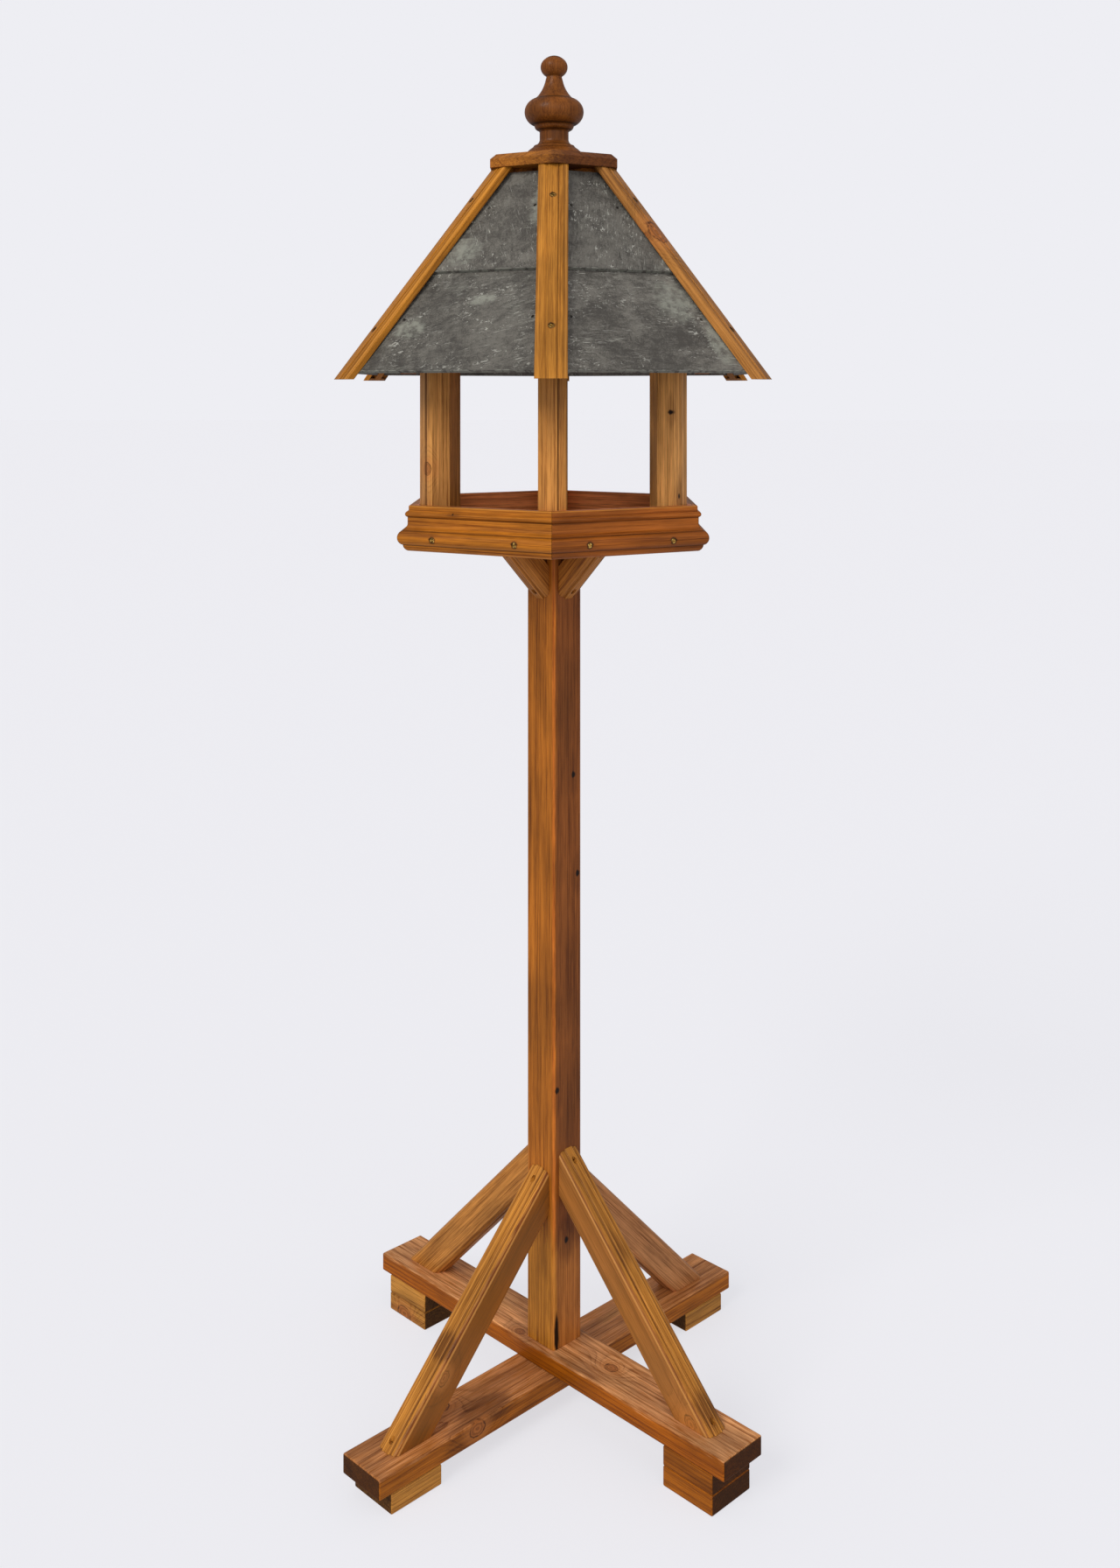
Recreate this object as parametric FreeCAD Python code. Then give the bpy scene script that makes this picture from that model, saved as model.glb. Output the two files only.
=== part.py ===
import FreeCAD, Part
import math
import os

# Hexagonal slate-roofed bird table on a square post, millimetres.
# Origin: centre of the base on the ground.  +Z is up and -Y is the front.
# Radial pieces are built at azimuth 0 (radius along +X) and then turned about Z.

# ---- base -------------------------------------------------------------------
BEAM_LENGTH = 575.0
BEAM_WIDTH = 64.0
BEAM_THICK = 22.0
BLOCK_LENGTH = 70.0
BLOCK_INSET = 16.0
TIMBER_ROUND = 2.0

# ---- pole, struts and braces ------------------------------------------------
POLE_SIDE = 47.0
POLE_ROUND = 5.0
STRUT_WIDTH = 30.5
STRUT_DEPTH = 40.4
STRUT_STEP = 1.4
STRUT_SHOULDER = 3.6
STRUT_ANGLE = 45.0
STRUT_REACH = 254.8
BRACE_WIDTH = 32.0
BRACE_DEPTH = 27.5
BRACE_STEP = 2.2
BRACE_SHOULDER = 4.6
BRACE_DROP = 69.0
BAR_LAND = 11.0
LAND_FALL = 0.9
QUIRK_WIDTH = 1.8
SHOULDER_BULGE_RUN = 0.74
SHOULDER_BULGE_DROP = 0.30

# ---- tray -------------------------------------------------------------------
FLOOR_BOTTOM = 1013.0
FLOOR_THICK = 18.0
FLOOR_CLEARANCE = 0.2
RIM_TOP = 1059.7
RIM_HEIGHT = 51.2
RIM_BACK = 152.4
RIM_FACE = 163.4
MITRE_GAP = 0.25

# ---- posts and roof ---------------------------------------------------------
POST_WIDTH = 31.0
POST_DEPTH = 26.2
POST_FACE = 171.0
HIP_TIP_RADIUS = 275.8
HIP_TIP_Z = 1202.0
HIP_SLOPE = 51.36
BATTEN_WIDTH = 34.5
BATTEN_EDGE = 10.6
HEAD_STEP = 1.5
HEAD_SHOULDER = 3.0
BATTEN_OVERRUN = 20.0
BATTEN_SOLID_TAIL = 12.0
TONGUE_WIDTH = 13.0
TONGUE_DEPTH = 17.0
RAFTER_TOP = 17.0
RAFTER_BACK = 44.0
RAFTER_END = 45.6
CAP_Z = 1449.0
CAP_RADIUS = 85.5
CAP_FACE = 9.7
CAP_BEVEL_HEIGHT = 6.3
CAP_BEVEL_WIDTH = 7.0
HUB_APOTHEM = 28.0
HUB_THICK = 24.0
HUB_CLEARANCE = 0.1
SLATE_THICK = 4.0
SLATE_BED_Z = 1205.2
SLATE_STEP = 137.8
SLATE_LAP = 30.2
SLATE_RUN = 286.4
SLATE_SIDE_GAP = 8.0
SLATE_HOLE_RADIUS = 2.0
SLATE_HOLE_OFFSET = 18.7
LOWER_HOLE_UP = 72.0
UPPER_HOLE_UP = 94.0
SLATE_CLEARANCE = 0.15

# ---- fasteners --------------------------------------------------------------
HEAD_RADIUS = 3.0
HEAD_RIM = 0.4
HEAD_HEIGHT = 2.0
SHANK_RADIUS = 1.7
TIP_LENGTH = 6.0
HOLE_CLEARANCE = 0.05
HOLE_MOUTH = 6.0
RECESS_ARM = 1.7
RECESS_HALF = 0.4
RECESS_DEPTH = 1.2
FLUSH = 1.0
FOOT_SCREW_SHORT = 38.0
FOOT_SCREW_LONG = 60.0
FOOT_SCREW_ALONG = 20.0
FOOT_SCREW_ACROSS = 17.0
POLE_SCREW_RADIUS = 12.0
POLE_FOOT_SCREW = 100.0
POLE_HEAD_SCREW = 70.0
STRUT_SUNK = 4.0
STRUT_HEAD_SCREW = 28.0
STRUT_HEAD_RADIUS = 35.0
STRUT_FOOT_SCREW = 24.0
STRUT_FOOT_INSET = 9.5
BRACE_SCREW = 26.0
BRACE_FOOT_SUNK = 4.5
BRACE_FOOT_INSET = 9.5
BRACE_HEAD_SUNK = 3.0
BRACE_HEAD_INSET = 14.0
RIM_SCREW = 42.0
RIM_SCREW_SPREAD = 54.0
RIM_SCREW_DROP = 37.0
RIM_BULGE = 12.6
POST_FOOT_SCREW = 50.0
POST_HEAD_SCREW = 78.0
POST_HEAD_SUNK = 6.0
BATTEN_SCREW = 38.0
BATTEN_SCREW_PLACES = (72.0, 266.0)
DOWEL_RADIUS = 3.0
DOWEL_LENGTH = 76.0
DOWEL_BELOW_CAP = 22.0

# ---- derived ----------------------------------------------------------------
LOWER_TOP = 2 * BEAM_THICK
UPPER_TOP = 3 * BEAM_THICK
FLOOR_TOP = FLOOR_BOTTOM + FLOOR_THICK
POLE_FACE = POLE_SIDE / 2
HALF_HEX = math.radians(30)
HIP = math.radians(HIP_SLOPE)
ROOF = math.atan(math.tan(HIP) / math.cos(HALF_HEX))
FALL = math.asin(math.sin(ROOF) * math.sin(HALF_HEX))
SLATE_STACK = 10.2
STEP_Y = 200.0
FAR = 700.0

CORNERS = {
    "front": -90,
    "front_right": -30,
    "back_right": 30,
    "back": 90,
    "back_left": 150,
    "front_left": 210,
}
SIDES = {
    "front_right": -60,
    "right": 0,
    "back_right": 60,
    "back_left": 120,
    "left": 180,
    "front_left": 240,
}
DIAGONALS = (45, 135, 225, 315)
LOWER_ENDS = {"front_left": 225, "back_right": 45}
UPPER_ENDS = {"front_right": -45, "back_left": 135}


# ---- geometry helpers -------------------------------------------------------
def vec(x, y, z):
    return FreeCAD.Vector(x, y, z)


def turned(shape, azimuth):
    """A copy of a shape turned about the Z axis."""
    copy = shape.copy()
    copy.rotate(vec(0, 0, 0), vec(0, 0, 1), azimuth)
    return copy


def closed_face(start, steps, point):
    """A face inside an outline; a step is an end point, or an arc's middle and end."""
    edges = []
    here = point(*start)
    for step in steps:
        end = point(*step[-1])
        if len(step) == 2:
            edges.append(Part.Arc(here, point(*step[0]), end).toShape())
        else:
            edges.append(Part.LineSegment(here, end).toShape())
        here = end
    edges.append(Part.LineSegment(here, point(*start)).toShape())
    return Part.Face(Part.Wire(edges))


def across(y, z):
    """A point of a bar's cross-section."""
    return vec(0, y, z)


def upright(r, z):
    """A point of a section that holds the Z axis."""
    return vec(r, 0, z)


def box(x0, x1, y0, y1, z0, z1):
    return Part.makeBox(x1 - x0, y1 - y0, z1 - z0, vec(x0, y0, z0))


def hexagon(apothem, z0, height, first_corner):
    """A hexagonal prism about the Z axis."""
    radius = apothem / math.cos(HALF_HEX)
    corners = []
    for k in range(7):
        angle = math.radians(first_corner + 60 * k)
        corners.append(vec(radius * math.cos(angle), radius * math.sin(angle), z0))
    face = Part.Face(Part.makePolygon(corners))
    return face.extrude(vec(0, 0, height))


def eased_box(length, width, thick, radius):
    """A planed timber lying along X, centred in plan, with rounded arrises."""
    timber = box(-length / 2, length / 2, -width / 2, width / 2, 0, thick)
    return timber.makeFillet(radius, timber.Edges)


def shoulder_steps(width, step, shoulder):
    """One half of a moulded face: land edge, quirk, then a rounded shoulder."""
    land = BAR_LAND / 2
    quirk = land + QUIRK_WIDTH
    edge = width / 2
    run = edge - quirk
    middle = (quirk + SHOULDER_BULGE_RUN * run, -step - SHOULDER_BULGE_DROP * shoulder)
    fall = (land + LAND_FALL, -step)
    return [(land, 0), fall, (quirk, -step), middle, (edge, -step - shoulder)]


def moulded_section(width, depth, step, shoulder, both=False):
    """A bar's section in the YZ plane, its raised land at Z = 0 and its back at -depth."""
    land, fall, quirk, middle, edge = shoulder_steps(width, step, shoulder)
    steps = [[fall], [quirk], [middle, edge]]
    if both:
        steps += [
            [(edge[0], -depth - edge[1])],
            [(middle[0], -depth - middle[1]), (quirk[0], -depth - quirk[1])],
            [(fall[0], -depth - fall[1])],
            [(land[0], -depth)],
            [(-land[0], -depth)],
            [(-fall[0], -depth - fall[1])],
            [(-quirk[0], -depth - quirk[1])],
            [(-middle[0], -depth - middle[1]), (-edge[0], -depth - edge[1])],
        ]
    else:
        steps += [[(edge[0], -depth)], [(-edge[0], -depth)]]
    steps += [
        [(-edge[0], edge[1])],
        [(-middle[0], middle[1]), (-quirk[0], quirk[1])],
        [(-fall[0], fall[1])],
        [(-land[0], 0)],
    ]
    return closed_face(land, steps, across)


def sloped(shape, angle, radius, z):
    """Turn a shape drawn along X, with Z outwards, down by an angle and move it out."""
    copy = shape.copy()
    copy.rotate(vec(0, 0, 0), vec(0, 1, 0), angle)
    copy.translate(vec(radius, 0, z))
    return copy


def bar(section, start, end, angle, radius, z):
    """A section swept from start to end along X, then sloped."""
    solid = section.extrude(vec(end - start, 0, 0))
    solid.translate(vec(start, 0, 0))
    return sloped(solid, angle, radius, z)


def on_roof(shape):
    """Move a shape from hip coordinates (down-slope, across, outwards) to the roof."""
    return sloped(shape, HIP_SLOPE, HIP_TIP_RADIUS, HIP_TIP_Z)


# ---- fasteners --------------------------------------------------------------
def screw_body(length, grow):
    """A countersunk wood screw driven along -Z, its head's rim at Z = 0."""
    head = HEAD_RADIUS + grow
    shank = SHANK_RADIUS + grow
    steps = [
        [(head, -HEAD_RIM)],
        [(shank, -HEAD_HEIGHT)],
        [(shank, TIP_LENGTH - length)],
        [(0, -length - grow)],
    ]
    outline = [[(head, 0)]] + steps
    face = closed_face((0, 0), outline, upright)
    return face.revolve(vec(0, 0, 0), vec(0, 0, 1), 360)


def cross_recess():
    """The cross-shaped drive in a screw's head."""
    arm = RECESS_ARM
    half = RECESS_HALF
    first = box(-arm, arm, -half, half, -RECESS_DEPTH, FLUSH)
    second = box(-half, half, -arm, arm, -RECESS_DEPTH, FLUSH)
    return first.fuse(second)


class Screw:
    """A screw in its place: the point where its head sits and the way it is driven."""

    def __init__(self, point, direction, length, sunk, azimuth=0):
        self.placement = FreeCAD.Placement(
            vec(*point), FreeCAD.Rotation(vec(0, 0, -1), vec(*direction))
        )
        self.length = length
        self.sunk = sunk
        self.azimuth = azimuth

    def _placed(self, shape):
        shape.translate(vec(0, 0, -self.sunk))
        shape.Placement = self.placement.multiply(shape.Placement)
        return turned(shape, self.azimuth)

    def solid(self):
        return self._placed(screw_body(self.length, 0).cut(cross_recess()))

    def hole(self):
        """The screw's hole, open above its head."""
        bore = screw_body(self.length, HOLE_CLEARANCE)
        mouth = Part.makeCylinder(HEAD_RADIUS + HOLE_CLEARANCE, self.sunk + HOLE_MOUTH)
        return self._placed(bore.fuse(mouth))


def foot_screws():
    screws = []
    middle = BEAM_LENGTH / 2 - BLOCK_INSET - BLOCK_LENGTH / 2
    for ends, length in ((LOWER_ENDS, FOOT_SCREW_SHORT), (UPPER_ENDS, FOOT_SCREW_LONG)):
        for azimuth in ends.values():
            for side in (-1, 1):
                point = (middle + FOOT_SCREW_ALONG * side, FOOT_SCREW_ACROSS * side, 0)
                screws.append(Screw(point, (0, 0, 1), length, FLUSH, azimuth))
    return screws


def pole_screws():
    screws = []
    for azimuth in (45, 225):
        foot = (POLE_SCREW_RADIUS, 0, BEAM_THICK)
        screws.append(Screw(foot, (0, 0, 1), POLE_FOOT_SCREW, FLUSH, azimuth))
        head = (POLE_SCREW_RADIUS, 0, FLOOR_TOP)
        screws.append(Screw(head, (0, 0, -1), POLE_HEAD_SCREW, FLUSH, azimuth))
    return screws


def strut_screws():
    screws = []
    for ends, top in ((LOWER_ENDS, LOWER_TOP), (UPPER_ENDS, UPPER_TOP)):
        for azimuth in ends.values():
            head = (STRUT_HEAD_RADIUS, 0, top + STRUT_REACH - STRUT_HEAD_RADIUS)
            screws.append(Screw(head, (-1, 0, 0), STRUT_HEAD_SCREW, STRUT_SUNK, azimuth))
            foot = (STRUT_REACH - STRUT_FOOT_INSET, 0, top + STRUT_FOOT_INSET)
            screws.append(Screw(foot, (0, 0, -1), STRUT_FOOT_SCREW, STRUT_SUNK, azimuth))
    return screws


def brace_screws():
    screws = []
    for azimuth in DIAGONALS:
        rise = BRACE_FOOT_INSET - BRACE_DROP
        foot = (POLE_FACE + BRACE_FOOT_INSET, 0, FLOOR_BOTTOM + rise)
        screws.append(Screw(foot, (-1, 0, 0), BRACE_SCREW, BRACE_FOOT_SUNK, azimuth))
        reach = BRACE_DROP - BRACE_HEAD_INSET
        head = (POLE_FACE + reach, 0, FLOOR_BOTTOM - BRACE_HEAD_INSET)
        screws.append(Screw(head, (0, 0, 1), BRACE_SCREW, BRACE_HEAD_SUNK, azimuth))
    return screws


def rim_screws():
    screws = []
    for azimuth in SIDES.values():
        for side in (-1, 1):
            point = (RIM_FACE + RIM_BULGE, RIM_SCREW_SPREAD * side, RIM_TOP - RIM_SCREW_DROP)
            screws.append(Screw(point, (-1, 0, 0), RIM_SCREW, FLUSH, azimuth))
    return screws


def post_screws():
    screws = []
    radius = POST_FACE - POST_DEPTH / 2
    rafter_top = hip_height(radius) - RAFTER_TOP / math.cos(HIP)
    for azimuth in CORNERS.values():
        foot = (radius, 0, FLOOR_BOTTOM)
        screws.append(Screw(foot, (0, 0, 1), POST_FOOT_SCREW, FLUSH, azimuth))
        head = (radius, 0, rafter_top)
        screws.append(Screw(head, (0, 0, -1), POST_HEAD_SCREW, POST_HEAD_SUNK, azimuth))
    return screws


def batten_screws():
    screws = []
    into = (-math.sin(HIP), 0, -math.cos(HIP))
    for azimuth in CORNERS.values():
        for up_slope in BATTEN_SCREW_PLACES:
            radius = HIP_TIP_RADIUS - up_slope * math.cos(HIP)
            point = (radius, 0, hip_height(radius))
            screws.append(Screw(point, into, BATTEN_SCREW, FLUSH, azimuth))
    return screws


def finial_dowel_screw():
    """A double-ended screw that joins the finial through the cap to the hub."""
    return Part.makeCylinder(DOWEL_RADIUS, DOWEL_LENGTH, vec(0, 0, CAP_Z - DOWEL_BELOW_CAP))


# ---- base pieces ------------------------------------------------------------
def beam(azimuth, z):
    timber = eased_box(BEAM_LENGTH, BEAM_WIDTH, BEAM_THICK, TIMBER_ROUND)
    timber.translate(vec(0, 0, z))
    return turned(timber, azimuth)


def block(azimuth, z):
    timber = eased_box(BLOCK_LENGTH, BEAM_WIDTH, BEAM_THICK, TIMBER_ROUND)
    timber.translate(vec(BEAM_LENGTH / 2 - BLOCK_INSET - BLOCK_LENGTH / 2, 0, z))
    return turned(timber, azimuth)


def pole():
    half = POLE_SIDE / 2
    post = box(-half, half, -half, half, UPPER_TOP, FLOOR_BOTTOM)
    arrises = [edge for edge in post.Edges if edge.Length > POLE_SIDE + 1]
    return turned(post.makeFillet(POLE_ROUND, arrises), 45)


def strut(azimuth, beam_top):
    """A leg strut, cut plumb against the pole and level on its beam."""
    section = moulded_section(STRUT_WIDTH, STRUT_DEPTH, STRUT_STEP, STRUT_SHOULDER, both=True)
    stock = bar(section, -FAR, FAR, STRUT_ANGLE, STRUT_REACH, beam_top)
    room = box(POLE_FACE, FAR, -STEP_Y, STEP_Y, beam_top, FAR)
    return turned(stock.common(room), azimuth)


def brace(azimuth):
    """A bracket under the tray, cut plumb against the pole and level at the floor."""
    section = moulded_section(BRACE_WIDTH, BRACE_DEPTH, BRACE_STEP, BRACE_SHOULDER)
    foot = FLOOR_BOTTOM - BRACE_DROP
    stock = bar(section, -FAR, FAR, 180 - STRUT_ANGLE, POLE_FACE, foot)
    room = box(POLE_FACE, FAR, -STEP_Y, STEP_Y, foot - 1, FLOOR_BOTTOM)
    return turned(stock.common(room), azimuth)


# ---- tray pieces ------------------------------------------------------------
def tray_floor():
    return hexagon(RIM_BACK - FLOOR_CLEARANCE, FLOOR_BOTTOM, FLOOR_THICK, 30)


def rim_section():
    """The moulded tray edge: fillet, bead, cove, torus and foot, from the top down."""
    face = RIM_FACE
    top = RIM_TOP
    foot = top - RIM_HEIGHT
    steps = [
        [(face - 0.8, top)],
        [(face, top - 0.8)],
        [(face, top - 6.8)],
        [(face + 4.0, top - 9.4), (face + 2.0, top - 12.7)],
        [(face + 1.2, top - 13.2)],
        [(face + 1.2, top - 19.6)],
        [(face + 2.6, top - 24.2), (face + 6.4, top - 26.9)],
        [(face + 6.4, top - 28.0)],
        [(face + 8.2, top - 28.5)],
        [(face + 12.6, top - 36.4), (face + 8.2, top - 43.6)],
        [(face + 6.4, top - 44.2)],
        [(face + 4.4, top - 48.8), (face + 0.9, foot)],
        [(RIM_BACK, foot)],
    ]
    return closed_face((RIM_BACK, top), steps, upright)


def rim_board(azimuth):
    stock = rim_section().extrude(vec(0, 2 * STEP_Y, 0))
    stock.translate(vec(0, -STEP_Y, 0))
    reach = 2 * STEP_Y
    spread = reach * math.tan(HALF_HEX)
    corners = [
        vec(MITRE_GAP, 0, 0),
        vec(MITRE_GAP + reach, -spread, 0),
        vec(MITRE_GAP + reach, spread, 0),
        vec(MITRE_GAP, 0, 0),
    ]
    wedge = Part.Face(Part.makePolygon(corners)).extrude(vec(0, 0, 2 * RIM_TOP))
    return turned(stock.common(wedge), azimuth)


# ---- roof pieces ------------------------------------------------------------
def hip_height(radius):
    """Height of the hip battens' raised face at a radius."""
    return HIP_TIP_Z + (HIP_TIP_RADIUS - radius) * math.tan(HIP)


def bed_depth(across_hip):
    """How far the slates' bed lies below the hip battens' face, at a place across."""
    side = BATTEN_EDGE + SLATE_STACK / math.cos(FALL)
    return side - (BATTEN_WIDTH / 2 - across_hip) * math.tan(FALL)


def post(azimuth):
    """A post on the tray floor, its top cut to the slope of the rafter."""
    section = moulded_section(POST_WIDTH, POST_DEPTH, HEAD_STEP, HEAD_SHOULDER)
    stock = bar(section, -CAP_Z, -FLOOR_TOP, 90, POST_FACE, 0)
    above = on_roof(box(-FAR, FAR, -STEP_Y, STEP_Y, -RAFTER_BACK, FAR))
    return turned(stock.cut(above), azimuth)


def rafter(azimuth):
    """A hip rafter, backed to both roof slopes, plumb at the hub and square at its foot."""
    half = POST_WIDTH / 2
    ridge = (RAFTER_TOP - bed_depth(0)) / math.tan(FALL)
    steps = [
        [(ridge, -RAFTER_TOP)],
        [(half, -bed_depth(half))],
        [(half, -RAFTER_BACK)],
        [(-half, -RAFTER_BACK)],
        [(-half, -bed_depth(half))],
    ]
    section = closed_face((-ridge, -RAFTER_TOP), steps, across)
    stock = bar(section, -FAR, -RAFTER_END, HIP_SLOPE, HIP_TIP_RADIUS, HIP_TIP_Z)
    room = box(HUB_APOTHEM, FAR, -STEP_Y, STEP_Y, 0, CAP_Z)
    return turned(stock.common(room), azimuth)


def rafter_hub():
    return hexagon(HUB_APOTHEM - HUB_CLEARANCE, CAP_Z - HUB_THICK, HUB_THICK, 0)


def batten(azimuth):
    """A moulded hip batten, relieved over the slates, its tongue down on the rafter."""
    section = moulded_section(BATTEN_WIDTH, BATTEN_EDGE, HEAD_STEP, HEAD_SHOULDER)
    start = vec(BATTEN_OVERRUN - FAR, 0, 0)
    stock = on_roof(section.extrude(vec(FAR, 0, 0)).translated(start))
    half = BATTEN_WIDTH / 2
    tongue = TONGUE_WIDTH / 2
    rise = (half - tongue) * math.tan(FALL)
    for side in (-1, 1):
        steps = [
            [(side * half, -BATTEN_EDGE)],
            [(side * (half + 1), -BATTEN_EDGE - math.tan(FALL))],
            [(side * tongue, -BATTEN_EDGE - 1)],
        ]
        groove = closed_face((side * tongue, -BATTEN_EDGE + rise), steps, across)
        groove = groove.extrude(vec(FAR, 0, 0)).translated(vec(-BATTEN_SOLID_TAIL - FAR, 0, 0))
        stock = stock.cut(on_roof(groove))
    rib = box(-FAR, -RAFTER_END, -tongue, tongue, -TONGUE_DEPTH, 1 - BATTEN_EDGE)
    solid = stock.fuse(on_roof(rib)).removeSplitter()
    room = box(0, FAR, -STEP_Y, STEP_Y, HIP_TIP_Z, CAP_Z)
    return turned(solid.common(room), azimuth)


def slate(azimuth, tail, head, tail_lift, head_lift, hole_up):
    """A flat slate between two hips; tail and head are distances up the roof."""
    out = vec(math.sin(ROOF), 0, math.cos(ROOF))
    up = vec(-math.cos(ROOF), 0, math.sin(ROOF))
    bed_radius = HIP_TIP_RADIUS - bed_depth(0) / math.sin(HIP)
    bed_radius -= (SLATE_BED_Z - HIP_TIP_Z) / math.tan(HIP)
    origin = vec(bed_radius * math.cos(HALF_HEX), 0, SLATE_BED_Z)
    low = origin + up * tail + out * tail_lift
    high = origin + up * head + out * head_lift
    normal = vec(high.z - low.z, 0, low.x - high.x).normalize()

    def half_width(radius, gap):
        return radius * math.tan(HALF_HEX) - gap / math.cos(HALF_HEX)

    low_half = half_width(low.x, SLATE_SIDE_GAP)
    high_half = half_width(high.x, SLATE_SIDE_GAP)
    corners = [
        low + vec(0, -low_half, 0),
        low + vec(0, low_half, 0),
        high + vec(0, high_half, 0),
        high + vec(0, -high_half, 0),
        low + vec(0, -low_half, 0),
    ]
    plate = Part.Face(Part.makePolygon(corners)).extrude(normal * SLATE_THICK)
    middle = low + (high - low) * (hole_up / (head - tail))
    offset = half_width(middle.x, SLATE_HOLE_OFFSET)
    for side in (-1, 1):
        start = middle + vec(0, side * offset, 0) - normal
        plate = plate.cut(Part.makeCylinder(SLATE_HOLE_RADIUS, SLATE_THICK + 2, start, normal))
    return turned(plate, azimuth)


def lower_slate(azimuth):
    head = SLATE_STEP + SLATE_LAP
    tail_lift = slate_tilt() * head + SLATE_CLEARANCE
    return slate(azimuth, 0, head, tail_lift, SLATE_CLEARANCE, LOWER_HOLE_UP)


def upper_slate(azimuth):
    head_lift = 2 * SLATE_CLEARANCE
    tail_lift = slate_tilt() * (SLATE_RUN - SLATE_STEP) + head_lift
    return slate(azimuth, SLATE_STEP, SLATE_RUN, tail_lift, head_lift, UPPER_HOLE_UP)


def slate_tilt():
    """Slope of the slates against their bed, so that the upper laps over the lower."""
    return (SLATE_THICK + SLATE_CLEARANCE) / (SLATE_RUN - SLATE_STEP - SLATE_LAP)


def roof_cap():
    """The bevelled hexagonal cap."""
    apothem = CAP_RADIUS * math.cos(HALF_HEX)
    board = hexagon(apothem, CAP_Z, CAP_FACE + CAP_BEVEL_HEIGHT, 30)
    slope = math.degrees(math.atan2(CAP_BEVEL_HEIGHT, CAP_BEVEL_WIDTH))
    for side in SIDES.values():
        waste = box(-FAR, FAR, -STEP_Y, STEP_Y, 0, FAR)
        board = board.cut(turned(sloped(waste, slope, apothem, CAP_Z + CAP_FACE), side))
    return board


def dome_middle(radius, z, rise):
    """Halfway point of an arc that meets the Z axis squarely, a rise above its edge."""
    ball = (radius ** 2 + rise ** 2) / (2 * rise)
    half = math.asin(radius / ball) / 2
    return ball * math.sin(half), z + rise - ball * (1 - math.cos(half))


def finial():
    """The turned finial: base, neck, bulb, spire and ball, from the cap up."""
    base = CAP_Z + CAP_FACE + CAP_BEVEL_HEIGHT
    steps = [
        [(36.0, base)],
        [(36.0, base + 2.0)],
        [(32.3, base + 7.5), (25.6, base + 13.0)],
        [(23.9, base + 15.4)],
        [(19.2, base + 18.0), (17.2, base + 22.4)],
        [(17.2, base + 32.0)],
        [(19.2, base + 33.6)],
        [(22.2, base + 35.6), (23.3, base + 38.6)],
        [(24.3, base + 39.7)],
        [(32.4, base + 46.2), (35.2, base + 55.3)],
        [(31.8, base + 65.4), (22.8, base + 71.6)],
        [(20.7, base + 73.2)],
        [(14.2, base + 82.4), (10.4, base + 92.8)],
        [(9.1, base + 97.7)],
        [(11.6, base + 99.6)],
        [(16.1, base + 108.8), (11.6, base + 118.2)],
        [dome_middle(11.6, base + 118.2, 4.6), (0, base + 122.8)],
    ]
    return closed_face((0, base), steps, upright).revolve(vec(0, 0, 0), vec(0, 0, 1), 360)


# ---- assembly ---------------------------------------------------------------
def wooden_pieces():
    pieces = {
        "lower_beam": beam(45, BEAM_THICK),
        "upper_beam": beam(135, 2 * BEAM_THICK),
        "pole": pole(),
        "tray_floor": tray_floor(),
        "rafter_hub": rafter_hub(),
        "roof_cap": roof_cap(),
        "finial": finial(),
        "rafters": Part.makeCompound([rafter(azimuth) for azimuth in CORNERS.values()]),
    }
    for ends, top in ((LOWER_ENDS, LOWER_TOP), (UPPER_ENDS, UPPER_TOP)):
        for name, azimuth in ends.items():
            pieces["foot_block_" + name] = block(azimuth, 0)
            pieces["strut_" + name] = strut(azimuth, top)
            pieces["brace_" + name] = brace(azimuth)
    for name, azimuth in UPPER_ENDS.items():
        pieces["spacer_block_" + name] = block(azimuth, BEAM_THICK)
    for name, azimuth in CORNERS.items():
        pieces["post_" + name] = post(azimuth)
        pieces["hip_batten_" + name] = batten(azimuth)
    for name, azimuth in SIDES.items():
        pieces["rim_board_" + name] = rim_board(azimuth)
    return pieces


def drilled(shape, holes):
    """A piece with every fastener's hole that reaches it."""
    for hole in holes:
        if shape.BoundBox.intersect(hole.BoundBox):
            shape = shape.cut(hole)
    return shape


def drillings(groups, name):
    """The holes a piece may take; the post screws' heads are covered by the battens."""
    return [
        screw.hole()
        for group, screws in groups.items()
        for screw in screws
        if not (group == "post_screws" and name.startswith("hip_batten"))
    ]


def export(name, shape):
    for solid in shape.Solids:
        if not solid.isValid() or solid.Volume < 1:
            raise ValueError("bad solid in " + name)
    solids = shape.Solids
    out = solids[0] if len(solids) == 1 else Part.makeCompound(solids)
    out.exportStep("parts/" + name + ".step")
    print(name, len(solids), round(shape.Volume / 1000, 1))


def main():
    os.makedirs("parts", exist_ok=True)
    groups = {
        "foot_screws": foot_screws(),
        "pole_screws": pole_screws(),
        "strut_screws": strut_screws(),
        "brace_screws": brace_screws(),
        "rim_screws": rim_screws(),
        "post_screws": post_screws(),
        "batten_screws": batten_screws(),
    }
    dowel = finial_dowel_screw()
    for name, shape in wooden_pieces().items():
        export(name, drilled(shape, drillings(groups, name) + [dowel]))
    for name, azimuth in SIDES.items():
        export("lower_slate_" + name, lower_slate(azimuth))
        export("upper_slate_" + name, upper_slate(azimuth))
    for name, group in groups.items():
        export(name, Part.makeCompound([screw.solid() for screw in group]))
    export("finial_dowel_screw", dowel)


main()
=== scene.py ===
import math

import bpy
from mathutils import Matrix, Vector


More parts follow.
